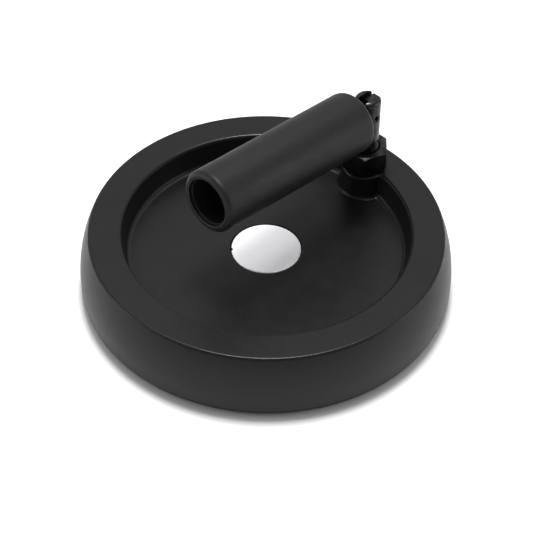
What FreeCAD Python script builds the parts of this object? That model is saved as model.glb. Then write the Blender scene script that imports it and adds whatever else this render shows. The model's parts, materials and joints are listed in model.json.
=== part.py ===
"""Solid-disc handwheel with a fold-away revolving handle, as a parametric FreeCAD document.

The origin is on the wheel's axis, at the plane that the rim and the hub stand on. +Z runs up the axis,
and +X points to the boss that carries the handle. The handle is modelled folded in, across the wheel.
"""

import FreeCAD, Part
import os
import re
import Sketcher
from FreeCAD import Placement, Rotation, Vector

# Driving dimensions, in millimetres and degrees. Each one is a cell of the sheet.
DRIVING = {
    "wheel_radius": 80,
    "rim_height": 31.5,
    "rim_flare": 21.7,
    "rim_shoulder": 20.65,
    "rim_bulge": 54,
    "rim_tuck": 6.5,
    "rim_wall": 5,
    "crease_fillet": 1.2,
    "ring_inner_radius": 61.7,
    "dish_floor_radius": 59.8,
    "dish_depth": 11.4,
    "dish_fillet": 2.2,
    "web_thickness": 6,
    "hub_radius": 19.5,
    "draft": 1,
    "rib_count": 5,
    "rib_thickness": 3.6,
    "rib_clearance": 5,
    "inner_fillet": 1.5,
    "bush_radius": 14,
    "bush_groove": 1.5,
    "groove_height": 3,
    "groove_bottom": 11,
    "bore_radius": 8,
    "bore_chamfer": 0.6,
    "cap_radius": 15.15,
    "cap_gap": 0.3,
    "cap_thickness": 1.2,
    "cap_sink": 0.1,
    "cap_bevel": 0.3,
    "notch_radius": 0.9,
    "notch_azimuth": 138,
    "adhesive_thickness": 0.3,
    "grub_radius": 3,
    "grub_height": 5.5,
    "grub_tip": 8.4,
    "grub_length": 9.6,
    "grub_key": 3,
    "boss_offset": 60.5,
    "boss_top_radius": 9.6,
    "boss_foot_radius": 10.6,
    "boss_corner": 3,
    "top_fillet": 1.6,
    "boss_depth": 24,
    "column_radius": 12.5,
    "insert_radius": 7.5,
    "insert_length": 22,
    "stud_radius": 6,
    "stud_length": 18,
    "stud_chamfer": 1,
    "washer_radius": 8.7,
    "washer_thickness": 1.6,
    "nut_flats": 19,
    "nut_height": 9.8,
    "nut_turn": 43,
    "nut_chamfer": 0.9,
    "half_hex_turn": 30,
    "neck_radius": 4.6,
    "neck_height": 2.2,
    "neck_cone": 2.6,
    "post_radius": 5.85,
    "post_fillet": 2.4,
    "cheek_rise": 8.7,
    "slot_width": 5,
    "pivot_rise": 29.2,
    "pin_radius": 1.75,
    "pin_wall": 0.7,
    "pin_length": 11,
    "washer_disc_radius": 5,
    "washer_disc_thickness": 0.45,
    "running_gap": 0.05,
    "heel": 5.7,
    "crown": 6.6,
    "crown_reach": 0.8,
    "heel_reach": 6,
    "heel_slope": 3,
    "tang_half_height": 4.5,
    "tang_thickness": 4,
    "fold_tilt": 4.2,
    "collar_start": 12,
    "collar_length": 3,
    "collar_radius": 7.4,
    "spindle_radius": 4,
    "thrust_thickness": 0.6,
    "grip_radius": 13.65,
    "grip_start": 8.2,
    "grip_length": 87,
    "grip_bore": 9.85,
    "grip_recess": 8.5,
    "grip_wall": 4,
    "grip_end_fillet": 3.6,
    "grip_mouth_fillet": 2.4,
    "mouth_step": 0.6,
    "mouth_depth": 1.6,
    "bush_length": 12,
    "rear_bush_start": 54,
    "spigot_radius": 5.9,
    "spigot_hole": 6,
    "keeper_radius": 7.5,
    "keeper_thickness": 1.5,
    "screw_radius": 2.5,
    "screw_depth": 14,
    "screw_head_radius": 4.4,
    "screw_head_height": 3.2,
    "screw_key": 3,
    "ball_radius": 1.5,
    "spring_wire": 0.22,
    "spring_radius": 1.15,
    "spring_pitch": 1.25,
    "spring_turns": 7,
}

# Sizes worked out from the driving dimensions.
DERIVED = {
    "web_top": "rim_height - dish_depth",
    "web_bottom": "web_top - web_thickness",
    "rim_ceiling": "rim_height - rim_wall",
    "crease_radius": "wheel_radius - (rim_height - rim_shoulder) * tan(rim_flare)",
    "rim_inner": "wheel_radius - rim_tuck - draft",
    "seat_height": "web_top - cap_sink - cap_thickness - adhesive_thickness",
    "seat_radius": "cap_radius + cap_gap",
    "boss_bottom": "rim_height - boss_depth",
    "nut_bottom": "rim_height + washer_thickness",
    "nut_top": "nut_bottom + nut_height",
    "nut_circumradius": "nut_flats / 2 / cos(half_hex_turn)",
    "pivot_height": "rim_height + pivot_rise",
    "slot_floor": "pivot_height - heel - running_gap",
    "post_top": "pivot_height + cheek_rise",
    "ball_height": "slot_floor - ball_radius",
    "heel_drop": "(heel + heel_reach * sin(fold_tilt)) / cos(fold_tilt)",
    "collar_end": "collar_start + collar_length",
    "thrust_end": "collar_end + running_gap + thrust_thickness",
    "recess_end": "thrust_end + running_gap",
    "bore_start": "recess_end + grip_wall",
    "grip_end": "grip_start + grip_length",
    "rear_bush_end": "rear_bush_start + bush_length",
    "spindle_end": "rear_bush_end + 4 * running_gap",
    "keeper_end": "spindle_end + keeper_thickness",
    "ball_bore": "ball_radius + running_gap",
    "spring_length": "spring_pitch * spring_turns",
    "bore_bottom": "ball_height - ball_radius - spring_length - 2 * spring_wire",
}

FULL_TURN = 360
HEX_SIDES = 6
SAME_CIRCLE = 0.01
BOX_MARGIN = 0.1
SHORTEST_RISE = 1
ALONG_X = Rotation(Vector(0, 1, 0), -90)
ALONG_Y = Rotation(Vector(1, 0, 0), 90)

document = FreeCAD.newDocument("handwheel")
sheet = document.addObject("Spreadsheet::Sheet", "dims")
pieces = []


def fill_sheet():
    """Puts each driving dimension in a cell of its own, under its own alias."""
    for row, (alias, number) in enumerate(DRIVING.items(), start=1):
        sheet.set(f"A{row}", str(number))
        sheet.setAlias(f"A{row}", alias)
    document.recompute()


def bound(formula):
    """The formula as an expression on the sheet's cells."""

    def cell(match):
        word = match.group(0)
        if word in DERIVED:
            return f"({bound(DERIVED[word])})"
        return f"dims.{word}" if word in DRIVING else word

    return re.sub(r"[a-z_]+", cell, str(formula))


def value(formula):
    """What the formula comes to now."""
    return float(sheet.evalExpression(bound(formula)))


def bind(feature, **formulas):
    """Binds a feature's properties to the sheet."""
    for name, formula in formulas.items():
        feature.setExpression(name, bound(formula))


def place(item, x="0", z="0"):
    """Binds the place of an item to the sheet."""
    item.setExpression(".Placement.Base.x", bound(x))
    item.setExpression(".Placement.Base.z", bound(z))


def new_body(label):
    """An empty body that becomes one node."""
    body = document.addObject("PartDesign::Body", label)
    body.Label = label
    pieces.append(body)
    return body


def origin_feature(body, role):
    """The body's own origin plane or axis of that role."""
    return next(item for item in body.Origin.OriginFeatures if item.Role == role)


def outline(body, name, corners, role="XZ_Plane"):
    """Closed sketch of straight sides, each corner held at its two distances from the origin."""
    sketch = body.newObject("Sketcher::SketchObject", name)
    sketch.AttachmentSupport = [(origin_feature(body, role), "")]
    sketch.MapMode = "FlatFace"
    points = [Vector(value(across), value(along), 0) for across, along in corners]
    for index, point in enumerate(points):
        sketch.addGeometry(Part.LineSegment(point, points[(index + 1) % len(points)]), False)
    for index, point in enumerate(points):
        sketch.addConstraint(Sketcher.Constraint("Coincident", index, 2, (index + 1) % len(points), 1))
    for index, (point, corner) in enumerate(zip(points, corners)):
        for kind, size, formula in (("DistanceX", point.x, corner[0]), ("DistanceY", point.y, corner[1])):
            held = sketch.addConstraint(Sketcher.Constraint(kind, -1, 1, index, 1, size))
            sketch.setExpression(f"Constraints[{held}]", bound(formula))
    return sketch


def revolve(body, name, corners, kind="Revolution"):
    """Turns an outline of (radius, height) corners about the body's Z axis."""
    feature = body.newObject(f"PartDesign::{kind}", name)
    feature.Profile = outline(body, f"{name}_outline", corners)
    feature.ReferenceAxis = (origin_feature(body, "Z_Axis"), [""])
    feature.Angle = FULL_TURN
    document.recompute()
    return feature


def primitive(body, kind, name, x="0", y="0", z="0", turn=None, **sizes):
    """Adds or takes away a PartDesign primitive at a place in its body."""
    feature = body.newObject(f"PartDesign::{kind}", name)
    if turn is not None:
        feature.Placement = Placement(Vector(), turn)
    bind(feature, **sizes)
    for axis, formula in zip("xyz", (x, y, z)):
        feature.setExpression(f".Placement.Base.{axis}", bound(formula))
    document.recompute()
    return feature


def circles(feature, radius, height, x="0"):
    """Names of the round edges of that radius and height about the vertical line at x."""
    wanted = (value(radius), value(height), value(x))
    found = []
    for number, edge in enumerate(feature.Shape.Edges, start=1):
        if not isinstance(edge.Curve, Part.Circle):
            continue
        centre = edge.Curve.Center
        given = (edge.Curve.Radius, centre.z, centre.x)
        if all(abs(one - other) < SAME_CIRCLE for one, other in zip(given, wanted)):
            found.append(f"Edge{number}")
    return found


def edges_in(feature, low, high, upright=False, beyond="0"):
    """Names of the edges inside a box: the rising ones, or the level ones that reach beyond a radius."""
    low = [value(corner) - BOX_MARGIN for corner in low]
    high = [value(corner) + BOX_MARGIN for corner in high]
    found = []
    for number, edge in enumerate(feature.Shape.Edges, start=1):
        box = edge.BoundBox
        lowest = (box.XMin, box.YMin, box.ZMin)
        highest = (box.XMax, box.YMax, box.ZMax)
        above = all(mine > limit for mine, limit in zip(lowest, low))
        below = all(mine < limit for mine, limit in zip(highest, high))
        rising = box.ZLength > SHORTEST_RISE
        reach = max(box.XMax, -box.XMin)
        if above and below and rising == upright and reach > value(beyond) + BOX_MARGIN:
            found.append(f"Edge{number}")
    return found


def fillet(body, name, base, edges, radius, kind="Fillet", size="Radius"):
    """Rounds or bevels some edges of a feature."""
    feature = body.newObject(f"PartDesign::{kind}", name)
    feature.Base = (base, edges)
    bind(feature, **{size: radius})
    document.recompute()
    return feature


def ring(label, inner, outer, bottom, top):
    """Plain ring, or a disc where the inner radius is 0."""
    body = new_body(label)
    revolve(body, label + "_turned", [(inner, bottom), (outer, bottom), (outer, top), (inner, top)])
    return body


def along_handle(body):
    """Stands a body, drawn from the pivot along its own Z axis, along the folded handle."""
    body.Placement = Placement(Vector(), Rotation(Vector(0, -1, 0), 1))
    body.setExpression(".Placement.Rotation.Angle", bound("90 - fold_tilt"))
    place(body, "boss_offset", "pivot_height")


def make_wheel_body():
    """Rim, ring, dished web, hub and handle boss in one moulding, hollow and ribbed underneath."""
    body = new_body("wheel_body")
    feature = revolve(
        body,
        "disc",
        [
            ("bush_radius", "0"),
            ("hub_radius", "0"),
            ("hub_radius + draft", "web_bottom"),
            ("dish_floor_radius + rim_wall", "web_bottom"),
            ("ring_inner_radius + rim_wall", "rim_ceiling"),
            ("crease_radius - rim_wall", "rim_ceiling"),
            ("rim_inner", "0"),
            ("wheel_radius", "0"),
            ("wheel_radius", "rim_shoulder"),
            ("crease_radius", "rim_height"),
            ("ring_inner_radius", "rim_height"),
            ("dish_floor_radius", "web_top"),
            ("seat_radius", "web_top"),
            ("seat_radius", "seat_height"),
            ("bush_radius", "seat_height"),
            ("bush_radius", "groove_bottom + groove_height"),
            ("bush_radius - bush_groove", "groove_bottom + groove_height"),
            ("bush_radius - bush_groove", "groove_bottom"),
            ("bush_radius", "groove_bottom"),
        ],
    )
    rounded = (
        ("wheel_radius", "0", "rim_tuck"),
        ("wheel_radius", "rim_shoulder", "rim_bulge"),
        ("crease_radius", "rim_height", "crease_fillet"),
        ("hub_radius + draft", "web_bottom", "inner_fillet"),
        ("dish_floor_radius + rim_wall", "web_bottom", "inner_fillet"),
        ("crease_radius - rim_wall", "rim_ceiling", "inner_fillet"),
    )
    for index, (radius, height, size) in enumerate(rounded):
        feature = fillet(body, f"round_{index}", feature, circles(feature, radius, height), size)
    boss = primitive(
        body,
        "AdditiveCone",
        "boss",
        x="boss_offset",
        z="web_top - draft",
        Radius1="boss_foot_radius",
        Radius2="boss_top_radius",
        Height="dish_depth + draft",
    )
    foot_low = ("boss_offset - boss_foot_radius", "-boss_foot_radius", "web_top")
    foot_high = ("ring_inner_radius", "boss_foot_radius", "rim_height")
    corners = edges_in(boss, foot_low, foot_high, upright=True)
    feature = fillet(body, "boss_corners", boss, corners, "boss_corner")
    reach = value("crease_radius - 2 * crease_fillet")
    top = edges_in(feature, (-reach, -reach, "rim_height"), (reach, reach, "rim_height"))
    feature = fillet(body, "top_round", feature, top, "top_fillet")
    floor = edges_in(feature, (-reach, -reach, "web_top"), (reach, reach, "web_top"), beyond="seat_radius")
    fillet(body, "dish_round", feature, floor, "dish_fillet")
    primitive(
        body,
        "AdditiveCylinder",
        "boss_column",
        x="boss_offset",
        z="boss_bottom",
        Radius="column_radius",
        Height="web_top - draft - boss_bottom",
    )
    bridge_start = "boss_offset + insert_radius - 2 * draft"
    primitive(
        body,
        "AdditiveBox",
        "boss_bridge",
        x=bridge_start,
        y="draft / 2 - insert_radius",
        z="boss_bottom",
        Length=f"rim_inner + 2 * draft - ({bridge_start})",
        Width="2 * insert_radius - draft",
        Height="rim_ceiling + draft - boss_bottom",
    )
    rib = primitive(
        body,
        "AdditiveBox",
        "rib",
        x="hub_radius - draft",
        y="-rib_thickness / 2",
        z="rib_clearance",
        Length="rim_inner + 2 * draft - hub_radius",
        Width="rib_thickness",
        Height="web_bottom + draft - rib_clearance",
    )
    ribs = body.newObject("PartDesign::PolarPattern", "ribs")
    ribs.Originals = [rib]
    ribs.Axis = (origin_feature(body, "Z_Axis"), [""])
    bind(ribs, Occurrences="rib_count")
    body.Tip = ribs
    document.recompute()
    primitive(
        body,
        "SubtractiveCylinder",
        "insert_hole",
        x="boss_offset",
        z="rim_height - insert_length",
        Radius="insert_radius",
        Height="insert_length + draft",
    )
    bore_for_grub_screw(body)


def bore_for_grub_screw(body):
    """Radial hole for the grub screw, on the side away from the handle."""
    primitive(
        body,
        "SubtractiveCylinder",
        "grub_hole",
        z="grub_height",
        turn=ALONG_X,
        Radius="grub_radius",
        Height="hub_radius + 2 * draft",
    )


def make_hub():
    """Steel bush moulded into the hub, its grub screw, and the cap with its adhesive disc."""
    bush = new_body("hub_bush")
    revolve(
        bush,
        "bush",
        [
            ("bore_radius + bore_chamfer", "0"),
            ("bush_radius", "0"),
            ("bush_radius", "groove_bottom"),
            ("bush_radius - bush_groove", "groove_bottom"),
            ("bush_radius - bush_groove", "groove_bottom + groove_height"),
            ("bush_radius", "groove_bottom + groove_height"),
            ("bush_radius", "seat_height"),
            ("bore_radius", "seat_height"),
            ("bore_radius", "bore_chamfer"),
        ],
    )
    bore_for_grub_screw(bush)

    screw = new_body("hub_grub_screw")
    revolve(
        screw,
        "screw",
        [
            ("0", "grub_tip"),
            ("grub_radius - grub_radius / 3", "grub_tip"),
            ("grub_radius", "grub_tip + grub_radius / 3"),
            ("grub_radius", "grub_tip + grub_length"),
            ("0", "grub_tip + grub_length"),
        ],
    )
    socket = primitive(
        screw,
        "SubtractivePrism",
        "socket",
        z="grub_tip + grub_length / 2",
        Circumradius="grub_key / 2 / cos(half_hex_turn)",
        Height="grub_length / 2",
    )
    socket.Polygon = HEX_SIDES
    screw.Placement = Placement(Vector(), ALONG_X)
    place(screw, z="grub_height")

    ring("cap_adhesive", "0", "cap_radius - cap_gap", "seat_height", "seat_height + adhesive_thickness")
    cap = ring("hub_cap", "0", "cap_radius", "seat_height + adhesive_thickness", "web_top - cap_sink")
    top_edge = circles(cap.Tip, "cap_radius", "web_top - cap_sink")
    fillet(cap, "cap_edge", cap.Tip, top_edge, "cap_bevel", "Chamfer", "Size")
    primitive(
        cap,
        "SubtractiveCylinder",
        "pry_notch",
        x="(cap_radius + notch_radius / 4) * cos(notch_azimuth)",
        y="(cap_radius + notch_radius / 4) * sin(notch_azimuth)",
        z="seat_height",
        Radius="notch_radius",
        Height="web_top - seat_height",
    )


def make_handle_base():
    """Threaded insert, washer and hexagonal lock nut that hold the slotted post on the boss."""
    insert = ring("boss_insert", "stud_radius", "insert_radius", "rim_height - insert_length", "rim_height")
    place(insert, "boss_offset")
    washer = ring("lock_washer", "stud_radius", "washer_radius", "rim_height", "nut_bottom")
    place(washer, "boss_offset")

    nut = new_body("lock_nut")
    prism = primitive(
        nut,
        "AdditivePrism",
        "hexagon",
        z="nut_bottom",
        Circumradius="nut_circumradius",
        Height="nut_height",
    )
    prism.Polygon = HEX_SIDES
    nut.Placement = Placement(Vector(), Rotation(Vector(0, 0, 1), 1))
    nut.setExpression(".Placement.Rotation.Angle", bound("nut_turn"))
    face = "nut_flats / 2"
    reach = "nut_circumradius + draft"
    drop = "(nut_circumradius + draft - nut_flats / 2) * tan(half_hex_turn)"
    for name, end, sign in (("top_chamfer", "nut_top", "-"), ("foot_chamfer", "nut_bottom", "+")):
        revolve(nut, name, [(face, end), (reach, end), (reach, f"{end} {sign} {drop}")], "Groove")
    thread = {"Radius": "stud_radius", "Height": "nut_height"}
    primitive(nut, "SubtractiveCylinder", "thread", z="nut_bottom", **thread)
    mouth = circles(nut.Tip, "stud_radius", "nut_top")
    fillet(nut, "thread_mouth", nut.Tip, mouth, "nut_chamfer", "Chamfer", "Size")
    place(nut, "boss_offset")


def make_post():
    """Post with a threaded stud, a slot for the handle's eye, and bores for the pin and the detent."""
    body = new_body("hinge_post")
    stud_end = "rim_height - stud_length"
    feature = revolve(
        body,
        "post",
        [
            ("0", stud_end),
            ("stud_radius - stud_chamfer", stud_end),
            ("stud_radius", f"{stud_end} + stud_chamfer"),
            ("stud_radius", "nut_top"),
            ("neck_radius", "nut_top"),
            ("neck_radius", "nut_top + neck_height"),
            ("post_radius", "nut_top + neck_height + neck_cone"),
            ("post_radius", "post_top"),
            ("0", "post_top"),
        ],
    )
    fillet(body, "post_round", feature, circles(feature, "post_radius", "post_top"), "post_fillet")
    primitive(
        body,
        "SubtractiveBox",
        "slot",
        x="-post_radius - draft",
        y="-slot_width / 2",
        z="slot_floor",
        Length="2 * (post_radius + draft)",
        Width="slot_width",
        Height="post_top - slot_floor + draft",
    )
    primitive(
        body,
        "SubtractiveCylinder",
        "pin_hole",
        y="post_radius + draft",
        z="pivot_height",
        turn=ALONG_Y,
        Radius="pin_radius",
        Height="2 * (post_radius + draft)",
    )
    primitive(
        body,
        "SubtractiveCylinder",
        "detent_bore",
        z="bore_bottom",
        Radius="ball_bore",
        Height="slot_floor - bore_bottom + draft / 2",
    )
    place(body, "boss_offset")


def make_pivot():
    """Hollow spring pin, and the two friction washers beside the eye."""
    pin = ring("pivot_pin", "pin_radius - pin_wall", "pin_radius", "-pin_length / 2", "pin_length / 2")
    pin.Placement = Placement(Vector(), ALONG_Y)
    place(pin, "boss_offset", "pivot_height")

    discs = []
    for side, edge in (("left", "slot_width / 2 - washer_disc_thickness"), ("right", "-slot_width / 2")):
        disc = document.addObject("Part::Cylinder", f"{side}_disc")
        bind(disc, Radius="washer_disc_radius", Height="washer_disc_thickness")
        disc.setExpression(".Placement.Base.z", bound(edge))
        hole = document.addObject("Part::Cylinder", f"{side}_hole")
        bind(hole, Radius="pin_radius + running_gap", Height="slot_width")
        hole.setExpression(".Placement.Base.z", bound("-slot_width / 2"))
        cut = document.addObject("Part::Cut", f"{side}_washer")
        cut.Base = disc
        cut.Tool = hole
        discs.append(cut)
    pair = document.addObject("Part::Compound", "pivot_washers")
    pair.Label = "pivot_washers"
    pair.Links = discs
    pair.Placement = Placement(Vector(), ALONG_Y)
    place(pair, "boss_offset", "pivot_height")
    pieces.append(pair)


def make_detent():
    """Ball under the eye, and the coil spring that pushes it up."""
    ball = document.addObject("Part::Sphere", "detent_ball")
    ball.Label = "detent_ball"
    bind(ball, Radius="ball_radius")
    place(ball, "boss_offset", "ball_height")
    pieces.append(ball)

    path = document.addObject("Part::Helix", "spring_path")
    bind(path, Radius="spring_radius", Pitch="spring_pitch", Height="spring_length")
    wire = document.addObject("Part::Circle", "spring_section")
    wire.Placement = Placement(Vector(), ALONG_Y)
    bind(wire, Radius="spring_wire")
    wire.setExpression(".Placement.Base.x", bound("spring_radius"))
    spring = document.addObject("Part::Sweep", "detent_spring")
    spring.Label = "detent_spring"
    spring.Sections = [wire]
    spring.Spine = (path, ["Edge1"])
    spring.Solid = True
    spring.Frenet = True
    place(spring, "boss_offset", "bore_bottom + 1.5 * spring_wire")
    pieces.append(spring)


def make_spindle():
    """Flat eye and tang on the pivot pin, with the collar and the spindle that the grip turns on."""
    body = new_body("handle_spindle")
    tang = body.newObject("PartDesign::Pad", "tang")
    tang.Profile = outline(
        body,
        "tang_outline",
        [
            ("-heel * (1 - sin(fold_tilt)) / cos(fold_tilt)", "-heel"),
            ("crown", "-heel"),
            ("crown", "crown_reach"),
            ("tang_half_height", "crown_reach"),
            ("tang_half_height", "collar_start"),
            ("-tang_half_height", "collar_start"),
            ("-tang_half_height", "heel_reach + heel_slope"),
            ("-heel_drop", "heel_reach"),
        ],
    )
    bind(tang, Length="tang_thickness")
    tang.SideType = "Symmetric"
    document.recompute()
    corner = []
    for number, edge in enumerate(tang.Shape.Edges, start=1):
        box = edge.BoundBox
        if box.YLength > SHORTEST_RISE and box.ZMax < SAME_CIRCLE - value("heel") and box.XMax < 0:
            corner.append(f"Edge{number}")
    fillet(body, "eye_round", tang, corner, "heel - running_gap / 10")
    revolve(
        body,
        "spindle",
        [
            ("0", "collar_start"),
            ("collar_radius", "collar_start"),
            ("collar_radius", "collar_end"),
            ("spindle_radius", "collar_end"),
            ("spindle_radius", "spindle_end"),
            ("0", "spindle_end"),
        ],
    )
    primitive(
        body,
        "SubtractiveCylinder",
        "eye_hole",
        y="tang_thickness",
        turn=ALONG_Y,
        Radius="pin_radius + running_gap",
        Height="2 * tang_thickness",
    )
    primitive(
        body,
        "SubtractiveCylinder",
        "screw_hole",
        z="spindle_end - screw_depth",
        Radius="screw_radius",
        Height="screw_depth + draft",
    )
    along_handle(body)


def make_spindle_end():
    """Washer and screw that keep the grip on its spindle."""
    along_handle(ring("retaining_washer", "screw_radius", "keeper_radius", "spindle_end", "keeper_end"))
    screw = new_body("retaining_screw")
    revolve(
        screw,
        "screw_blank",
        [
            ("0", "spindle_end - screw_depth + draft"),
            ("screw_radius", "spindle_end - screw_depth + draft"),
            ("screw_radius", "keeper_end"),
            ("screw_head_radius", "keeper_end"),
            ("screw_head_radius", "keeper_end + screw_head_height / 2"),
            ("screw_head_radius - screw_head_height / 2", "keeper_end + screw_head_height"),
            ("0", "keeper_end + screw_head_height"),
        ],
    )
    socket = primitive(
        screw,
        "SubtractivePrism",
        "key_socket",
        z="keeper_end + screw_head_height / 3",
        Circumradius="screw_key / 2 / cos(half_hex_turn)",
        Height="screw_head_height",
    )
    socket.Polygon = HEX_SIDES
    along_handle(screw)


def make_grip():
    """Tubular grip, its two bushes, and the thrust washer between collar and front bush."""
    grip = new_body("grip")
    feature = revolve(
        grip,
        "tube",
        [
            ("grip_recess", "grip_start"),
            ("grip_radius", "grip_start"),
            ("grip_radius", "grip_end"),
            ("grip_bore + mouth_step", "grip_end"),
            ("grip_bore + mouth_step", "grip_end - mouth_depth"),
            ("grip_bore", "grip_end - mouth_depth"),
            ("grip_bore", "bore_start"),
            ("spigot_hole", "bore_start"),
            ("spigot_hole", "recess_end"),
            ("grip_recess", "recess_end"),
        ],
    )
    near_end = circles(feature, "grip_radius", "grip_start")
    feature = fillet(grip, "hinge_end_round", feature, near_end, "grip_end_fillet")
    far_end = circles(feature, "grip_radius", "grip_end")
    fillet(grip, "mouth_round", feature, far_end, "grip_mouth_fillet")
    along_handle(grip)

    front = new_body("front_bush")
    bore = "spindle_radius + running_gap"
    revolve(
        front,
        "front",
        [
            (bore, "recess_end"),
            ("spigot_radius", "recess_end"),
            ("spigot_radius", "bore_start"),
            ("grip_bore", "bore_start"),
            ("grip_bore", "bore_start + bush_length"),
            (bore, "bore_start + bush_length"),
        ],
    )
    along_handle(front)
    along_handle(ring("rear_bush", bore, "grip_bore", "rear_bush_start", "rear_bush_end"))
    along_handle(ring("thrust_washer", bore, "collar_radius", "collar_end + running_gap", "thrust_end"))


def check():
    """Stops the build if any object failed, or a piece has no valid shape."""
    for item in document.Objects:
        if "Invalid" in item.State or "Error" in item.State:
            raise RuntimeError(f"{item.Name} failed: {item.State}")
    for piece in pieces:
        if piece.Shape.isNull() or not piece.Shape.isValid() or not piece.Shape.Solids:
            raise RuntimeError(f"{piece.Label} has no valid shape")


def export():
    """Writes each piece to its own STEP file, and prints its volume and height."""
    os.makedirs("parts", exist_ok=True)
    for piece in pieces:
        piece.Shape.exportStep(os.path.join("parts", piece.Label + ".step"))
        box = piece.Shape.BoundBox
        print(f"{piece.Label:18s} {piece.Shape.Volume:10.1f} mm3  z {box.ZMin:.2f} to {box.ZMax:.2f}")


fill_sheet()
make_wheel_body()
make_hub()
make_handle_base()
make_post()
make_pivot()
make_detent()
make_spindle()
make_spindle_end()
make_grip()
document.recompute()
check()
export()
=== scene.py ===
"""Looks for a solid-disc handwheel with a fold-away revolving handle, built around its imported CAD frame.

Lengths inside the classes are millimetres, and each mesh is written in metres in the CAD frame: the
origin lies on the wheel's axis at the plane it stands on, +Z is up, and +X points to the handle boss.
"""

import json
import logging
import math
from dataclasses import dataclass
from enum import Enum

import bpy
import numpy as np
from mathutils import Matrix, Quaternion, Vector


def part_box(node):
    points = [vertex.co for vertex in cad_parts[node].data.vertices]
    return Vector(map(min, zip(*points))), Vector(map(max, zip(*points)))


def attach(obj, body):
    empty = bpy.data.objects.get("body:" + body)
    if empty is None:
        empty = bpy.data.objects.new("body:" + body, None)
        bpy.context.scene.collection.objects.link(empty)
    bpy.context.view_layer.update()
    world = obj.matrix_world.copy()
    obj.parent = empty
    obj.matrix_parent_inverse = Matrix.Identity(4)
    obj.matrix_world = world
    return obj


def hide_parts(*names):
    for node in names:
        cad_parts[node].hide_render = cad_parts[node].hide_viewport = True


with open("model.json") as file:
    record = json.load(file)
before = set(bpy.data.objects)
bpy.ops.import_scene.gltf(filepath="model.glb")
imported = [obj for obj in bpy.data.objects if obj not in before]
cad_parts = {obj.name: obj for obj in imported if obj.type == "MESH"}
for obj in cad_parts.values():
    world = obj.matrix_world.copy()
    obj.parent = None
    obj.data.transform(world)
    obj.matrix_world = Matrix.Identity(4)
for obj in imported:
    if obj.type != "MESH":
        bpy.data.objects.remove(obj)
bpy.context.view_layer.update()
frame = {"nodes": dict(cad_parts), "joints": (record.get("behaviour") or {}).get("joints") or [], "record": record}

log = logging.getLogger("handwheel")

# A millimetre in metres, the distance in metres at which points are one, the distance in millimetres
# from a rounded corner to its support points, and the angle above which an edge is drawn sharp.
METRE = 0.001
WELD = 1e-7
SUPPORT = 0.3
SHARP_ANGLE = math.radians(40)


class Body(Enum):
    """CAD bodies that pieces ride on."""

    WHEEL = "wheel"
    GRIP = "grip"


class Slot(Enum):
    """The record's material slots."""

    WHEEL = "moulded_wheel"
    GRIP = "moulded_grip"
    BLACK_STEEL = "black_steel"
    BRIGHT_STEEL = "bright_steel"
    CAP = "cap_aluminium"
    BUSH = "bush_plastic"
    ADHESIVE = "adhesive"


# ---------------------------------------------------------------------------------------------------
# Surfaces


@dataclass(frozen=True)
class Corner:
    """One corner of an outline: its distances across and along, and the radius that rounds it."""

    across: float
    along: float
    radius: float = 0.0
    steps: int = 6


@dataclass(frozen=True)
class Shell:
    """One closed surface: vertices in millimetres, and faces of three or four corners."""

    points: np.ndarray
    faces: list[list[int]]


def rounded_corner(before: np.ndarray, corner: Corner, after: np.ndarray) -> np.ndarray:
    """Rounds one corner with an arc that touches both sides, with a support point beyond each end.

    The arc's centre lies on the bisector, at radius / sin(half the corner's angle) from the corner.
    The support points keep the flat sides flat under smooth shading.

    Args:
        before: Corner before this one.
        corner: Corner to round.
        after: Corner after this one.

    Returns:
        Points of the rounded corner, one a row.
    """
    here = np.array([corner.across, corner.along])
    if corner.radius <= 0:
        return here[None, :]
    back, ahead = before - here, after - here
    back_length, ahead_length = np.linalg.norm(back), np.linalg.norm(ahead)
    back, ahead = back / back_length, ahead / ahead_length
    half = math.acos(np.clip(back @ ahead, -1, 1)) / 2
    reach = corner.radius / math.tan(half)
    bisector = (back + ahead) / np.linalg.norm(back + ahead)
    centre = here + bisector * corner.radius / math.sin(half)
    start, end = here + back * reach - centre, here + ahead * reach - centre
    turn = math.pi - 2 * half
    share = np.linspace(0, 1, corner.steps + 1)[:, None]
    arc = centre + (np.sin((1 - share) * turn) * start + np.sin(share * turn) * end) / math.sin(turn)
    first = here + back * min(reach + SUPPORT, (reach + back_length) / 2)
    last = here + ahead * min(reach + SUPPORT, (reach + ahead_length) / 2)
    return np.vstack([first, arc, last])


def rounded_outline(corners: list[Corner], closed: bool) -> np.ndarray:
    """Joins rounded corners into one outline.

    Args:
        corners: Corners in order.
        closed: True if the last corner joins the first.

    Returns:
        Points (across, along) of the outline, one a row.
    """
    sharp = np.array([[corner.across, corner.along] for corner in corners])
    parts = []
    for index, corner in enumerate(corners):
        at_end = not closed and index in (0, len(corners) - 1)
        before, after = sharp[index - 1], sharp[(index + 1) % len(corners)]
        parts.append(sharp[index][None, :] if at_end else rounded_corner(before, corner, after))
    return np.vstack(parts)


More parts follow.
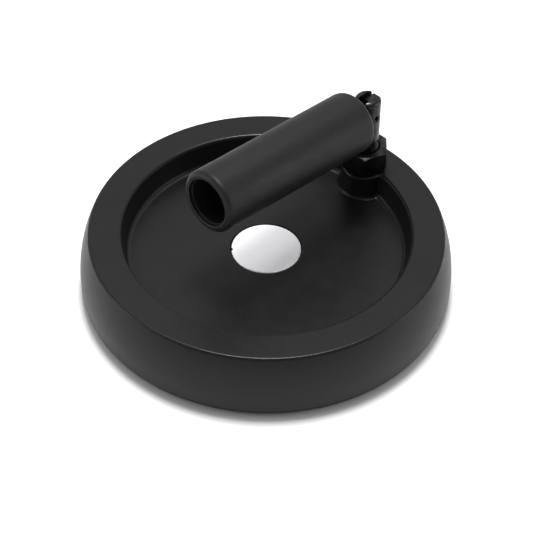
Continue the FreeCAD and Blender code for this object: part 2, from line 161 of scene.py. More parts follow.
def shell_from_rows(rows: np.ndarray, closed: bool) -> Shell:
    """Makes a closed shell from a grid of points whose columns wrap round.

    Neighbouring rows are joined by quads. A row that is a single point is welded into a pole, and the
    quads beside it become triangles. The signed volume, the sum of a . (b x c) / 6 over the fans of
    the faces, decides whether the faces are turned over, so that they point outwards.

    Args:
        rows: Points with shape (rows, columns, 3).
        closed: True if the last row joins the first.

    Returns:
        The shell.
    """
    count, columns = rows.shape[:2]
    index = np.arange(count * columns).reshape(count, columns)
    above = np.roll(index, -1, axis=0)
    if not closed:
        index, above = index[:-1], above[:-1]
    quads = np.stack([index, np.roll(index, -1, axis=1), np.roll(above, -1, axis=1), above], axis=-1)
    quads = quads.reshape(-1, 4)
    points = rows.reshape(-1, 3)
    keys = np.round(points * METRE / WELD).astype(np.int64)
    _, first, same = np.unique(keys, axis=0, return_index=True, return_inverse=True)
    quads = same.reshape(-1)[quads]
    points = points[first]
    a, b, c, d = (points[quads[:, corner]] for corner in range(4))
    volume = np.einsum("ij,ij->", a, np.cross(b, c)) + np.einsum("ij,ij->", a, np.cross(c, d))
    if volume < 0:
        quads = quads[:, ::-1]
    repeated = quads == np.roll(quads, -1, axis=1)
    whole = quads[~repeated.any(axis=1)]
    cut = repeated.sum(axis=1) == 1
    triangles = quads[cut][~repeated[cut]].reshape(-1, 3)
    return Shell(points, whole.tolist() + triangles.tolist())


def turned(outline: np.ndarray, angles: np.ndarray, closed: bool) -> Shell:
    """Turns an outline about the Z axis: (r, z) becomes (r cos angle, r sin angle, z).

    Args:
        outline: Points (radius, height).
        angles: Angles of the columns, in radians.
        closed: True if the outline is a closed loop, False if both its ends lie on the axis.

    Returns:
        The turned shell.
    """
    radius, height = outline[:, 0, None], outline[:, 1, None]
    across, along = radius * np.cos(angles), radius * np.sin(angles)
    return shell_from_rows(np.stack([across, along, height + 0 * across], axis=-1), closed)


def moved(shell: Shell, matrix: np.ndarray) -> Shell:
    """Carries a shell by a 4 by 4 matrix in millimetres."""
    return Shell(shell.points @ matrix[:3, :3].T + matrix[:3, 3], shell.faces)


def at(across: float, along: float, height: float) -> np.ndarray:
    """Matrix that moves a shell without turning it.

    Args:
        across: Distance along X in millimetres.
        along: Distance along Y.
        height: Distance along Z.

    Returns:
        A 4 by 4 matrix.
    """
    matrix = np.eye(4)
    matrix[:3, 3] = (across, along, height)
    return matrix


def full_circle(count: int) -> np.ndarray:
    """Evenly spaced angles round a circle, in radians."""
    return np.linspace(0, 2 * math.pi, count, endpoint=False)


def make_piece(name: str, shells: list[Shell], body: Body, stands_for: str) -> bpy.types.Object:
    """Writes shells into one mesh object that rides on a body and stands for a CAD node.

    Args:
        name: Name of the piece.
        shells: Closed surfaces in millimetres.
        body: Body that it rides on.
        stands_for: CAD node that it replaces.

    Returns:
        The object.
    """
    starts = np.cumsum([0] + [len(shell.points) for shell in shells])
    points = np.vstack([shell.points for shell in shells]) * METRE
    faces = [
        [corner + int(start) for corner in face]
        for shell, start in zip(shells, starts)
        for face in shell.faces
    ]
    mesh = bpy.data.meshes.new(name)
    mesh.from_pydata(points, [], faces)
    mesh.polygons.foreach_set("use_smooth", np.ones(len(faces), dtype=bool))
    mesh.set_sharp_from_angle(angle=SHARP_ANGLE)
    mesh.update()
    piece = bpy.data.objects.new(name, mesh)
    bpy.context.scene.collection.objects.link(piece)
    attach(piece, body.value)
    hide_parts(stands_for)
    log.info("%s: %d vertices, %d faces, rides on %s", name, len(points), len(faces), body.value)
    return piece


# ---------------------------------------------------------------------------------------------------
# Node tools


@dataclass
class Nodes:
    """Short ways to add and join the nodes of one tree."""

    tree: bpy.types.NodeTree

    def add(self, kind: str, inputs: dict | None = None, **properties: object) -> bpy.types.Node:
        """Adds a node.

        Args:
            kind: Blender's name of the node type, without the ShaderNode prefix.
            inputs: Value or source socket for each input, by name or number.
            properties: Properties of the node, such as its operation.

        Returns:
            The node.
        """
        node = self.tree.nodes.new("ShaderNode" + kind)
        for name, setting in properties.items():
            setattr(node, name, setting)
        for name, source in (inputs or {}).items():
            self.feed(node, name, source)
        return node

    def feed(self, node: bpy.types.Node, name: str | int, source: object) -> None:
        """Links a source socket to an input, or sets the input's value.

        Args:
            node: Node that has the input.
            name: Name or number of the input.
            source: Socket to link, or the value.
        """
        if isinstance(source, bpy.types.NodeSocket):
            self.tree.links.new(source, node.inputs[name])
        else:
            node.inputs[name].default_value = source

    def math(self, operation: str, *terms: object) -> bpy.types.NodeSocket:
        """Adds a Math node and gives its output."""
        return self.add("Math", dict(enumerate(terms)), operation=operation).outputs[0]

    def scaled(
        self, source: object, low: float, high: float, to_low: float, to_high: float
    ) -> bpy.types.NodeSocket:
        """Maps a range of values to another one and clamps it."""
        inputs = {"Value": source, "From Min": low, "From Max": high, "To Min": to_low, "To Max": to_high}
        return self.add("MapRange", inputs).outputs["Result"]

    def blend(self, factor: object, first: object, second: object) -> bpy.types.NodeSocket:
        """Mixes two colours.

        Args:
            factor: Value or socket, 0 for the first colour and 1 for the second.
            first: Colour or socket.
            second: Colour or socket.

        Returns:
            The mixed colour's socket.
        """
        node = self.add("Mix", data_type="RGBA")
        for name, source in (("Factor", factor), ("A", first), ("B", second)):
            socket = next(s for s in node.inputs if s.name == name and s.enabled)
            if isinstance(source, bpy.types.NodeSocket):
                self.tree.links.new(source, socket)
            else:
                socket.default_value = source
        return next(s for s in node.outputs if s.enabled)

    def noise(
        self, vector: object, scale: object, detail: float, roughness: float
    ) -> bpy.types.NodeSocket:
        """Adds a noise texture and gives its value."""
        inputs = {"Vector": vector, "Scale": scale, "Detail": detail, "Roughness": roughness}
        return self.add("TexNoise", inputs).outputs["Fac"]


def new_group(
    name: str, inputs: dict[str, str], outputs: dict[str, str]
) -> tuple[Nodes, bpy.types.Node, bpy.types.Node]:
    """Starts a shader node group.

    Args:
        name: Name of the group.
        inputs: Socket type for each input.
        outputs: Socket type for each output.

    Returns:
        The group's node tools, its input node and its output node.
    """
    tree = bpy.data.node_groups.new(name, "ShaderNodeTree")
    for way, sockets in (("INPUT", inputs), ("OUTPUT", outputs)):
        for socket, kind in sockets.items():
            tree.interface.new_socket(socket, in_out=way, socket_type="NodeSocket" + kind)
    return Nodes(tree), tree.nodes.new("NodeGroupInput"), tree.nodes.new("NodeGroupOutput")


def mould_texture() -> bpy.types.NodeTree:
    """Spark-eroded mould texture, shared by the moulded pieces.

    Height is a fine pebble pattern of smooth cells under two octaves of noise, Gloss is a slow
    variation with the polish that handling leaves, and Tint is a faint mottling.

    Returns:
        The node group.
    """
    nodes, entry, result = new_group(
        "mould_texture",
        {"Vector": "Vector", "Grain": "Float"},
        {"Height": "Float", "Gloss": "Float", "Tint": "Float"},
    )
    vector, grain = entry.outputs["Vector"], entry.outputs["Grain"]
    pattern = {"Vector": vector, "Scale": grain, "Smoothness": 0.6}
    cells = nodes.add("TexVoronoi", pattern, feature="SMOOTH_F1")
    pebbles = nodes.scaled(cells.outputs["Distance"], 0.0, 0.7, 1.0, 0.0)
    fine = nodes.noise(vector, nodes.math("MULTIPLY", grain, 1.7), 2.0, 0.6)
    nodes.feed(result, "Height", nodes.math("ADD", nodes.math("MULTIPLY", pebbles, 0.65), fine))
    slow = nodes.scaled(nodes.noise(vector, 38.0, 3.0, 0.55), 0.35, 0.65, -0.6, 0.6)
    smudge = nodes.scaled(nodes.noise(vector, 160.0, 4.0, 0.6), 0.4, 0.7, -0.4, 0.4)
    mottling = nodes.noise(vector, 420.0, 3.0, 0.7)
    nodes.feed(result, "Gloss", nodes.math("ADD", slow, smudge))
    nodes.feed(result, "Tint", nodes.scaled(mottling, 0.3, 0.7, 0.0, 1.0))
    return nodes.tree


def edge_polish() -> bpy.types.NodeTree:
    """Mask of outer edges, where moulding texture wears smooth and catches light.

    Returns:
        The node group.
    """
    inputs = {"Vector": "Vector", "Breakup": "Float"}
    nodes, entry, result = new_group("edge_polish", inputs, {"Mask": "Float"})
    point = nodes.add("NewGeometry").outputs["Pointiness"]
    edge = nodes.scaled(point, 0.508, 0.53, 0.0, 1.0)
    patches = nodes.noise(entry.outputs["Vector"], entry.outputs["Breakup"], 4.0, 0.65)
    breakup = nodes.scaled(patches, 0.35, 0.6, 0.2, 1.0)
    nodes.feed(result, "Mask", nodes.math("MULTIPLY", edge, breakup))
    return nodes.tree


def machined_marks() -> bpy.types.NodeTree:
    """Tool marks on turned, ground or brushed metal: noise drawn out long across one direction.

    Returns:
        The node group.
    """
    nodes, entry, result = new_group(
        "machined_marks",
        {"Vector": "Vector", "Stretch": "Vector", "Scale": "Float"},
        {"Height": "Float", "Gloss": "Float", "Tint": "Float"},
    )
    inputs = {0: entry.outputs["Vector"], 1: entry.outputs["Stretch"]}
    drawn = nodes.add("VectorMath", inputs, operation="MULTIPLY").outputs[0]
    marks = nodes.noise(drawn, entry.outputs["Scale"], 4.0, 0.7)
    nodes.feed(result, "Height", marks)
    nodes.feed(result, "Gloss", nodes.scaled(marks, 0.35, 0.65, -1.0, 1.0))
    clouds = nodes.noise(entry.outputs["Vector"], 260.0, 4.0, 0.6)
    nodes.feed(result, "Tint", nodes.scaled(clouds, 0.35, 0.65, 0.0, 1.0))
    return nodes.tree


@dataclass
class Workshop:
    """The shared node groups, each built once."""

    mould: bpy.types.NodeTree
    edges: bpy.types.NodeTree
    marks: bpy.types.NodeTree

    @classmethod
    def ready(cls) -> "Workshop":
        """Builds every shared group."""
        return cls(mould_texture(), edge_polish(), machined_marks())


Colour = tuple[float, float, float, float]


def grey(level: float, blue: float = 0.0) -> Colour:
    """Linear grey with a little more blue."""
    return (level, level, level * (1 + blue), 1.0)


def new_material(name: str, constants: dict[str, object]) -> tuple[bpy.types.Material, Nodes, bpy.types.Node]:
    """Starts a material with a Principled shader.

    Args:
        name: Name of the material.
        constants: Plain values set on the shader's own sockets.

    Returns:
        The material, its node tools and its shader.
    """
    material = bpy.data.materials.new(name)
    material.use_nodes = True
    nodes = Nodes(material.node_tree)
    shader = next(node for node in material.node_tree.nodes if node.type == "BSDF_PRINCIPLED")
    for socket, setting in constants.items():
        shader.inputs[socket].default_value = setting
    return material, nodes, shader


@dataclass(frozen=True)
class MouldedFinish:
    """Textured moulded plastic."""

    name: str
    colour: Colour
    light_colour: Colour
    roughness: float
    roughness_swing: float
    grain: float
    depth: float
    edge_shine: float

    def material(self, shop: Workshop) -> bpy.types.Material:
        """Builds the finish.

        Args:
            shop: Shared node groups.

        Returns:
            The material.
        """
        material, nodes, shader = new_material(self.name, {"Metallic": 0.0, "IOR": 1.48})
        place = nodes.add("TexCoord").outputs["Object"]
        texture = nodes.add("Group", node_tree=shop.mould)
        nodes.feed(texture, "Vector", place)
        nodes.feed(texture, "Grain", self.grain)
        edges = nodes.add("Group", node_tree=shop.edges)
        nodes.feed(edges, "Vector", place)
        nodes.feed(edges, "Breakup", self.grain / 8)
        gloss = nodes.math("MULTIPLY", texture.outputs["Gloss"], self.roughness_swing)
        worn = nodes.math("MULTIPLY", edges.outputs["Mask"], -self.edge_shine)
        roughness = nodes.math("ADD", nodes.math("ADD", gloss, worn), self.roughness)
        nodes.feed(shader, "Roughness", roughness)
        nodes.feed(shader, "Base Color", nodes.blend(texture.outputs["Tint"], self.colour, self.light_colour))
        bump = {"Strength": 0.55, "Distance": self.depth, "Height": texture.outputs["Height"]}
        nodes.feed(shader, "Normal", nodes.add("Bump", bump).outputs["Normal"])
        return material


@dataclass(frozen=True)
class MetalFinish:
    """Turned, ground or brushed metal, bare or blackened."""

    name: str
    colour: Colour
    light_colour: Colour
    roughness: float
    roughness_swing: float
    stretch: tuple[float, float, float]
    scale: float
    depth: float

    def material(self, shop: Workshop) -> bpy.types.Material:
        """Builds the finish.

        Args:
            shop: Shared node groups.

        Returns:
            The material.
        """
        material, nodes, shader = new_material(self.name, {"Metallic": 1.0})
        marks = nodes.add("Group", node_tree=shop.marks)
        nodes.feed(marks, "Vector", nodes.add("TexCoord").outputs["Object"])
        nodes.feed(marks, "Stretch", self.stretch)
        nodes.feed(marks, "Scale", self.scale)
        gloss = nodes.math("MULTIPLY", marks.outputs["Gloss"], self.roughness_swing)
        nodes.feed(shader, "Roughness", nodes.math("ADD", gloss, self.roughness))
        nodes.feed(shader, "Base Color", nodes.blend(marks.outputs["Tint"], self.colour, self.light_colour))
        bump = {"Strength": 0.4, "Distance": self.depth, "Height": marks.outputs["Height"]}
        nodes.feed(shader, "Normal", nodes.add("Bump", bump).outputs["Normal"])
        return material


FINISHES = {
    Slot.WHEEL: MouldedFinish(
        name="moulded_wheel_black",
        colour=grey(0.006),
        light_colour=grey(0.0085, 0.02),
        roughness=0.37,
        roughness_swing=0.04,
        grain=2600,
        depth=0.00004,
        edge_shine=0.16,
    ),
    Slot.GRIP: MouldedFinish(
        name="moulded_grip_black",
        colour=grey(0.010),
        light_colour=grey(0.014, 0.02),
        roughness=0.52,
        roughness_swing=0.05,
        grain=2400,
        depth=0.00006,
        edge_shine=0.08,
    ),
    Slot.BLACK_STEEL: MetalFinish(
        name="black_oxide_steel",
        colour=grey(0.045, 0.03),
        light_colour=grey(0.085, 0.04),
        roughness=0.33,
        roughness_swing=0.06,
        stretch=(1, 1, 14),
        scale=900,
        depth=0.00002,
    ),
    Slot.BRIGHT_STEEL: MetalFinish(
        name="ground_steel",
        colour=grey(0.5, 0.02),
        light_colour=grey(0.62, 0.02),
        roughness=0.28,
        roughness_swing=0.07,
        stretch=(1, 1, 10),
        scale=1100,
        depth=0.00002,
    ),
    Slot.CAP: MetalFinish(
        name="satin_aluminium",
        colour=grey(0.95, 0.02),
        light_colour=grey(0.97, 0.02),
        roughness=0.42,
        roughness_swing=0.05,
        stretch=(1, 9, 1),
        scale=700,
        depth=0.00001,
    ),
    Slot.BUSH: MouldedFinish(
        name="bearing_plastic",
        colour=grey(0.03),
        light_colour=grey(0.045),
        roughness=0.45,
        roughness_swing=0.06,
        grain=3200,
        depth=0.00003,
        edge_shine=0.1,
    ),
    Slot.ADHESIVE: MouldedFinish(
        name="adhesive_film",
        colour=grey(0.5),
        light_colour=grey(0.62),
        roughness=0.7,
        roughness_swing=0.1,
        grain=1800,
        depth=0.00004,
        edge_shine=0.0,
    ),
}


# ---------------------------------------------------------------------------------------------------
# Sub-assemblies


@dataclass
class Wheel:
    """Rim, ring, dished web, hub, ribs and handle boss, moulded as one piece."""

    rim_height: float = 31.5
    web_top: float = 20.1
    web_bottom: float = 14.1
    ring_radius: float = 61.7
    crease_radius: float = 75.68
    rim_radius: float = 80.0
    rim_shoulder: float = 20.65
    rim_bulge: float = 54.0
    rim_inner: float = 72.5
    rim_ceiling: float = 26.5
    rim_tuck: float = 6.5
    crease_fillet: float = 1.2
    wall: float = 5.0
    inner_fillet: float = 1.5
    rib_round: float = 0.8
    lap: float = 1.0
    wall_draft: float = 1.9
    top_fillet: float = 1.6
    dish_fillet: float = 2.2
    boss_offset: float = 60.5
    boss_radius: float = 9.6
    boss_corner: float = 1.6
    boss_draft: float = 0.55
    column_radius: float = 12.5
    column_bottom: float = 7.5
    insert_radius: float = 7.5
    hub_radius: float = 19.5
    bush_radius: float = 14.0
    seat_radius: float = 15.45
    seat_height: float = 18.5
    rib_count: int = 5
    rib_thickness: float = 3.6
    rib_bottom: float = 5.0
    parting_height: float = 4.8
    parting_width: float = 0.32
    parting_depth: float = 0.12
    ring_columns: int = 236
    corner_columns: int = 12
    boss_columns: int = 40

    def edge_curve(self, depth: float) -> tuple[np.ndarray, np.ndarray]:
        """Outline of the dish at one depth: the ring's circle and the boss's, joined by two corner arcs.

        A corner arc's centre is the ring's radius less the corner's from the axis, and the boss's radius
        plus the corner's from the boss's axis, so the arc touches both circles. Angles outside the boss
        are polar. Across the boss they follow the length along the curve.

        Args:
            depth: Distance into the dish from the top edge of its wall.

        Returns:
            Points (x, y) of the outline, and the angle on the rim that belongs to each.
        """
        ring_radius = self.ring_radius - depth
        boss_radius = self.boss_radius + depth * (self.boss_draft if depth > 0 else 1)
        corner_radius = self.boss_corner - min(depth, 0)
        far, near = ring_radius - corner_radius, boss_radius + corner_radius
        centre_x = (far**2 + self.boss_offset**2 - near**2) / (2 * self.boss_offset)
        centre = np.array([centre_x, math.sqrt(far**2 - centre_x**2)])
        opening = math.atan2(centre[1], centre[0])
        boss_turn = math.atan2(centre[1], centre[0] - self.boss_offset)
        boss = np.array([self.boss_offset, 0.0])
        mirror = np.array([1.0, -1.0])

        inward = boss_turn - math.pi
        turns = (
            np.linspace(opening, 2 * math.pi - opening, self.ring_columns, endpoint=False),
            np.linspace(-opening, -inward, self.corner_columns, endpoint=False),
            np.linspace(2 * math.pi - boss_turn, boss_turn, self.boss_columns, endpoint=False),
            np.linspace(inward, opening, self.corner_columns, endpoint=False),
        )
        middles = (0 * centre, centre * mirror, boss, centre)
        radii = (ring_radius, corner_radius, boss_radius, corner_radius)
        arcs = [
            middle + radius * np.stack([np.cos(turn), np.sin(turn)], axis=1)
            for middle, radius, turn in zip(middles, radii, turns)
        ]
        points = np.vstack(arcs)
        across = points[self.ring_columns :]
        steps = np.linalg.norm(np.diff(across, axis=0, append=points[:1]), axis=1)
        along = np.concatenate([[0], np.cumsum(steps)[:-1]]) / steps.sum()
        angles = np.concatenate([turns[0], 2 * math.pi + opening * (2 * along - 1)])
        return points, angles

    def rim_outline(self) -> np.ndarray:
        """Section from the ring's flat top over the rim and back under the web to the hub's bore.

        The parting line is a fine groove in the rim's rounded foot.

        Returns:
            Points (radius, height).
        """
        outline = rounded_outline(
            [
                Corner(self.crease_radius - 1.8, self.rim_height),
                Corner(self.crease_radius, self.rim_height, self.crease_fillet, 8),
                Corner(self.rim_radius, self.rim_shoulder, self.rim_bulge, 14),
                Corner(self.rim_radius, 0, self.rim_tuck, 26),
                Corner(self.rim_inner, 0, 0.6),
                Corner(self.crease_radius - self.wall, self.rim_ceiling, self.inner_fillet),
                Corner(self.ring_radius + self.wall, self.rim_ceiling, 0.8),
                Corner(self.ring_radius - self.wall_draft + self.wall, self.web_bottom, self.inner_fillet),
                Corner(self.hub_radius + 1, self.web_bottom, self.inner_fillet),
                Corner(self.hub_radius, 0, 0.5),
                Corner(self.bush_radius, 0),
            ],
            closed=False,
        )
        heights = self.parting_height + self.parting_width * np.linspace(1, -1, 5)
        depths = np.array([0.0, 0.0, self.parting_depth, 0.0, 0.0])
        middle = self.rim_radius - self.rim_tuck
        swell = np.sqrt(self.rim_tuck**2 - (self.rim_tuck - heights) ** 2)
        groove = np.stack([middle + swell - depths, heights], axis=1)
        outer = outline[:, 0] > middle
        crowded = outer & (np.abs(outline[:, 1] - self.parting_height) < 1.4 * self.parting_width)
        first = int(np.argmax(crowded))
        outline = outline[~crowded]
        return np.insert(outline, first, groove, axis=0)

    def shell(self) -> Shell:
        """The whole moulding except its ribs and column, as rows of columns that run round the axis.

        From the cap's seat the floor's rows run straight out from the axis to the foot of the wall. The
        wall's rows are the dish's outlines at the depths of the wall's section. The ring's top runs
        straight from there to the crease, and the rest turns about the axis.

        Returns:
            The shell.
        """
        wall = rounded_outline(
            [
                Corner(self.wall_draft + self.dish_fillet, self.web_top),
                Corner(self.wall_draft, self.web_top, self.dish_fillet, 9),
                Corner(0.0, self.rim_height, self.top_fillet, 9),
                Corner(-2.0, self.rim_height),
            ],
            closed=False,
        )
        curves = [self.edge_curve(depth) for depth in wall[:, 0]]
        wall_rows = np.stack(
            [
                np.column_stack([points, np.full(len(points), height)])
                for (points, _), height in zip(curves, wall[:, 1])
            ]
        )
        rim_angle = curves[-1][1]
        foot = wall_rows[0]
        floor_angle = np.unwrap(np.arctan2(foot[:, 1], foot[:, 0]))
        seat = rounded_outline(
            [
                Corner(self.bush_radius, 0.0),
                Corner(self.bush_radius, self.seat_height, 0.0),
                Corner(self.seat_radius, self.seat_height, 0.2, 3),
                Corner(self.seat_radius, self.web_top, 0.35, 5),
                Corner(self.seat_radius + 2, self.web_top),
            ],
            closed=False,
        )
        share = np.clip(seat[:, 1] / self.seat_height, 0, 1)[:, None]
        seat_angle = rim_angle * (1 - share) + floor_angle * share
        seat_rows = self.turned_rows(seat, seat_angle)
        steps = np.linspace(0, 1, 9)[1:-1, None, None]
        floor_rows = seat_rows[-1] * (1 - steps) + foot * steps

        outline = self.rim_outline()
        rim_rows = self.turned_rows(outline, np.broadcast_to(rim_angle, (len(outline), len(rim_angle))))
        steps = np.linspace(0, 1, 6)[1:-1, None, None]
        top_rows = wall_rows[-1] * (1 - steps) + rim_rows[0] * steps
        rows = np.concatenate([seat_rows[1:], floor_rows, wall_rows, top_rows, rim_rows])
        return shell_from_rows(rows, closed=True)

    @staticmethod
    def turned_rows(outline: np.ndarray, angles: np.ndarray) -> np.ndarray:
        """Rows of an outline turned about the Z axis, each row at its own angles.

        Args:
            outline: Points (radius, height).
            angles: Angles with shape (rows, columns).

        Returns:
            Points with shape (rows, columns, 3).
        """
        radius = outline[:, 0, None]
        across, along = radius * np.cos(angles), radius * np.sin(angles)
        return np.stack([across, along, outline[:, 1, None] + 0 * across], axis=-1)

    @staticmethod
    def bar(
        start: float, end: float, width: float, bottom: float, top: float, rounding: float
    ) -> Shell:
        """Straight bar along +X with rounded lower edges, closed at both ends by a fan of triangles.

        Args:
            start: Distance of its near end from the axis.
            end: Distance of its far end.
            width: Thickness.
            bottom: Height of its lower edge.
            top: Height of its upper edge.
            rounding: Radius of its lower edges.

        Returns:
            The shell.
        """
        section = rounded_outline(
            [
                Corner(-width / 2, top),
                Corner(-width / 2, bottom, rounding),
                Corner(width / 2, bottom, rounding),
                Corner(width / 2, top),
            ],
            closed=True,
        )
        middle = np.broadcast_to(section.mean(axis=0), section.shape)
        loops = [(start, middle), (start, section), (end, section), (end, middle)]
        rows = [np.column_stack([np.full(len(loop), place), loop]) for place, loop in loops]
        return shell_from_rows(np.stack(rows), closed=False)

    def ribs(self) -> list[Shell]:
        """Ribs from the hub to the rim, the boss's column and the bridge beside it, each lapped into its
        neighbours.

        Returns:
            The shells.
        """
        shells = []
        for number in range(self.rib_count):
            turn = np.eye(4)
            turn[:3, :3] = np.array(Matrix.Rotation(2 * math.pi * number / self.rib_count, 3, "Z"))
            end = self.boss_offset - self.column_radius if number == 0 else self.rim_inner
            bar = self.bar(
                self.hub_radius - self.lap,
                end + self.lap,
                self.rib_thickness,
                self.rib_bottom,
                self.web_bottom + self.lap,
                self.rib_round,
            )
            shells.append(moved(bar, turn))
        column = rounded_outline(
            [
                Corner(self.insert_radius, self.column_bottom, 0.3, 3),
                Corner(self.column_radius, self.column_bottom, self.rib_round),
                Corner(self.column_radius, self.web_bottom + 2 * self.lap),
                Corner(self.insert_radius, self.web_bottom + 2 * self.lap),
            ],
            closed=True,
        )
        shells.append(moved(turned(column, full_circle(96), closed=True), at(self.boss_offset, 0, 0)))
        bridge = self.bar(
            self.boss_offset + self.insert_radius + self.lap,
            self.rim_inner + 2 * self.lap,
            2 * self.insert_radius - 1,
            self.column_bottom + 0.2,
            self.rim_ceiling + self.lap,
            self.rib_round,
        )
        return [*shells, bridge]

    def build(self, finish: bpy.types.Material) -> None:
        """Makes the moulding and dresses it.

        Args:
            finish: Moulded plastic.
        """
        shells = [self.shell(), *self.ribs()]
        piece = make_piece("wheel_moulding", shells, Body.WHEEL, "wheel_body")
        piece.data.materials.append(finish)


@dataclass
class HubCover:
    """Disc stuck over the hub's bore, with a notch to pry it off."""

    radius: float = 15.15
    bevel: float = 0.3
    notch_radius: float = 0.9
    notch_azimuth: float = 138.0
    notch_reach: float = 4.5
    notch_columns: int = 41
    edge_round: float = 0.12
    crown: float = 0.06

    def angles(self) -> np.ndarray:
        """Spaces the disc's columns closer together in the notch.

        Returns:
            Angles in radians.
        """
        notch = math.radians(self.notch_azimuth)
        close = notch + np.linspace(-1, 1, self.notch_columns) * math.radians(self.notch_reach)
        apart = np.linspace(close[-1], close[0] + 2 * math.pi, 200)[1:-1]
        return np.concatenate([close, apart])

    def rows(self, bottom: float, top: float) -> np.ndarray:
        """The disc as rings from the middle of its underside to the middle of its top.

        The rim's radius at an angle is the smaller of the disc's and the distance at which that ray
        enters the notch's circle. The top is a shallow crown that falls with the square of the radius.

        Args:
            bottom: Height of its underside.
            top: Height of its top edge.

        Returns:
            Points with shape (rows, columns, 3).
        """
        angles = self.angles()
        away = angles - math.radians(self.notch_azimuth)
        middle = self.radius + self.notch_radius / 4
        inside = self.notch_radius**2 - (middle * np.sin(away)) ** 2
        cut = middle * np.cos(away) - np.sqrt(np.maximum(inside, 0))
        rim = np.where((inside > 0) & (np.cos(away) > 0), np.minimum(cut, self.radius), self.radius)
        section = rounded_outline(
            [
                Corner(-self.radius, bottom),
                Corner(0, bottom, 0.1, 3),
                Corner(0, top - self.bevel, self.edge_round, 4),
                Corner(-self.bevel, top, self.edge_round, 4),
                Corner(-self.radius, top),
            ],
            closed=False,
        )
        inset = section[:, 0, None]
        share = np.linspace(1, 0, 8)[1:, None]
        radius = np.concatenate([np.zeros((1, len(rim))), rim + inset[1:-1], share * (rim - 1)])
        crown = (top + self.crown * (1 - share**2)) + 0 * rim
        height = np.concatenate([section[:-1, 1, None] + 0 * rim, crown])
        return np.stack([radius * np.cos(angles), radius * np.sin(angles), height], axis=-1)

    def build(self, finish: bpy.types.Material) -> None:
        """Makes the disc and dresses it.

        Args:
            finish: Satin aluminium.
        """
        low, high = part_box("hub_cap")
        rows = self.rows(low.z / METRE, high.z / METRE - self.crown)
        shell = shell_from_rows(rows, closed=False)
        piece = make_piece("hub_cover_disc", [shell], Body.WHEEL, "hub_cap")
        piece.data.materials.append(finish)


@dataclass
class Fasteners:
    """Washer and hexagonal nut under the post."""

    bore: float = 6.0
    washer_round: float = 0.22
    flats: float = 19.0
    turn: float = 43.0
    mouth: float = 0.9
    end_inset: float = 0.6
    chamfer_drop: float = 1.1
    sharpness: float = 120.0

    @staticmethod
    def face_angles() -> np.ndarray:
        """Angles of the middles of the nut's six faces, in radians, as a column."""
        return np.radians(60.0) * np.arange(6)[:, None]

    def nut_angles(self) -> np.ndarray:
        """Spaces the nut's columns closer together at its six corners.

        Returns:
            Angles in radians.
        """
        side = np.linspace(-1, 1, 40, endpoint=False)
        bent = np.sign(side) * (1 - (1 - np.abs(side)) ** 1.8)
        return (self.face_angles() + bent * math.radians(30)).ravel()

    def nut_rows(self, bottom: float, top: float) -> np.ndarray:
        """The nut as rings from its bore's foot, over its flanks, to its bore's mouth.

        A flank's radius is the soft smaller one of the hexagon's, half the flats over the cosine of the
        angle from the face's middle, and the chamfer cone's, which grows by the square root of three
        times the drop from the end. The soft smaller one of a and b is (a^-p + b^-p)^(-1/p).

        Args:
            bottom: Height of its underside.
            top: Height of its top.

        Returns:
            Points with shape (rows, columns, 3).
        """
        angles = self.nut_angles()
        power = -self.sharpness
        faces = self.face_angles()
        facing = np.maximum(np.cos(angles - faces), 1e-3)
        hexagon = ((self.flats / 2 / facing) ** power).sum(axis=0) ** (1 / power)
        drop = np.append(np.linspace(0, self.chamfer_drop, 23), 2.0)
        height = np.concatenate([bottom + drop, top - drop[::-1]])[:, None]
        cone = self.flats / 2 + math.sqrt(3) * np.minimum(top - height, height - bottom)
        flank = (hexagon**power + cone**power) ** (1 / power)
        ends = rounded_outline(
            [
                Corner(self.flats / 2 - self.end_inset, top),
                Corner(self.bore + self.mouth, top, 0.12, 3),
                Corner(self.bore, top - self.mouth, 0.2, 3),
                Corner(self.bore, bottom + self.mouth, 0.2, 3),
                Corner(self.bore + self.mouth, bottom, 0.12, 3),
                Corner(self.flats / 2 - self.end_inset, bottom),
            ],
            closed=False,
        )
        radius = np.concatenate([flank, ends[:, :1] + 0 * angles])
        height = np.concatenate([height, ends[:, 1:]]) + 0 * angles
        around = angles + math.radians(self.turn) + math.radians(30)
        return np.stack([radius * np.cos(around), radius * np.sin(around), height], axis=-1)

    def build(self, finish: bpy.types.Material) -> None:
        """Makes washer and nut and dresses them.

        Args:
            finish: Blackened steel.
        """
        low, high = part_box("lock_washer")
        radius = (high.x - low.x) / 2 / METRE
        foot, top, middle = low.z / METRE, high.z / METRE, (low.x + high.x) / 2 / METRE
        corners = [(self.bore, foot), (radius, foot), (radius, top), (self.bore, top)]
        outline = rounded_outline([Corner(*place, self.washer_round, 4) for place in corners], closed=True)
        washer = moved(turned(outline, full_circle(128), closed=True), at(middle, 0, 0))
        piece = make_piece("post_washer", [washer], Body.WHEEL, "lock_washer")
        piece.data.materials.append(finish)

        low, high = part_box("lock_nut")
        rows = self.nut_rows(low.z / METRE, high.z / METRE)
        nut = moved(shell_from_rows(rows, closed=True), at(middle, 0, 0))
        piece = make_piece("post_nut", [nut], Body.WHEEL, "lock_nut")
        piece.data.materials.append(finish)


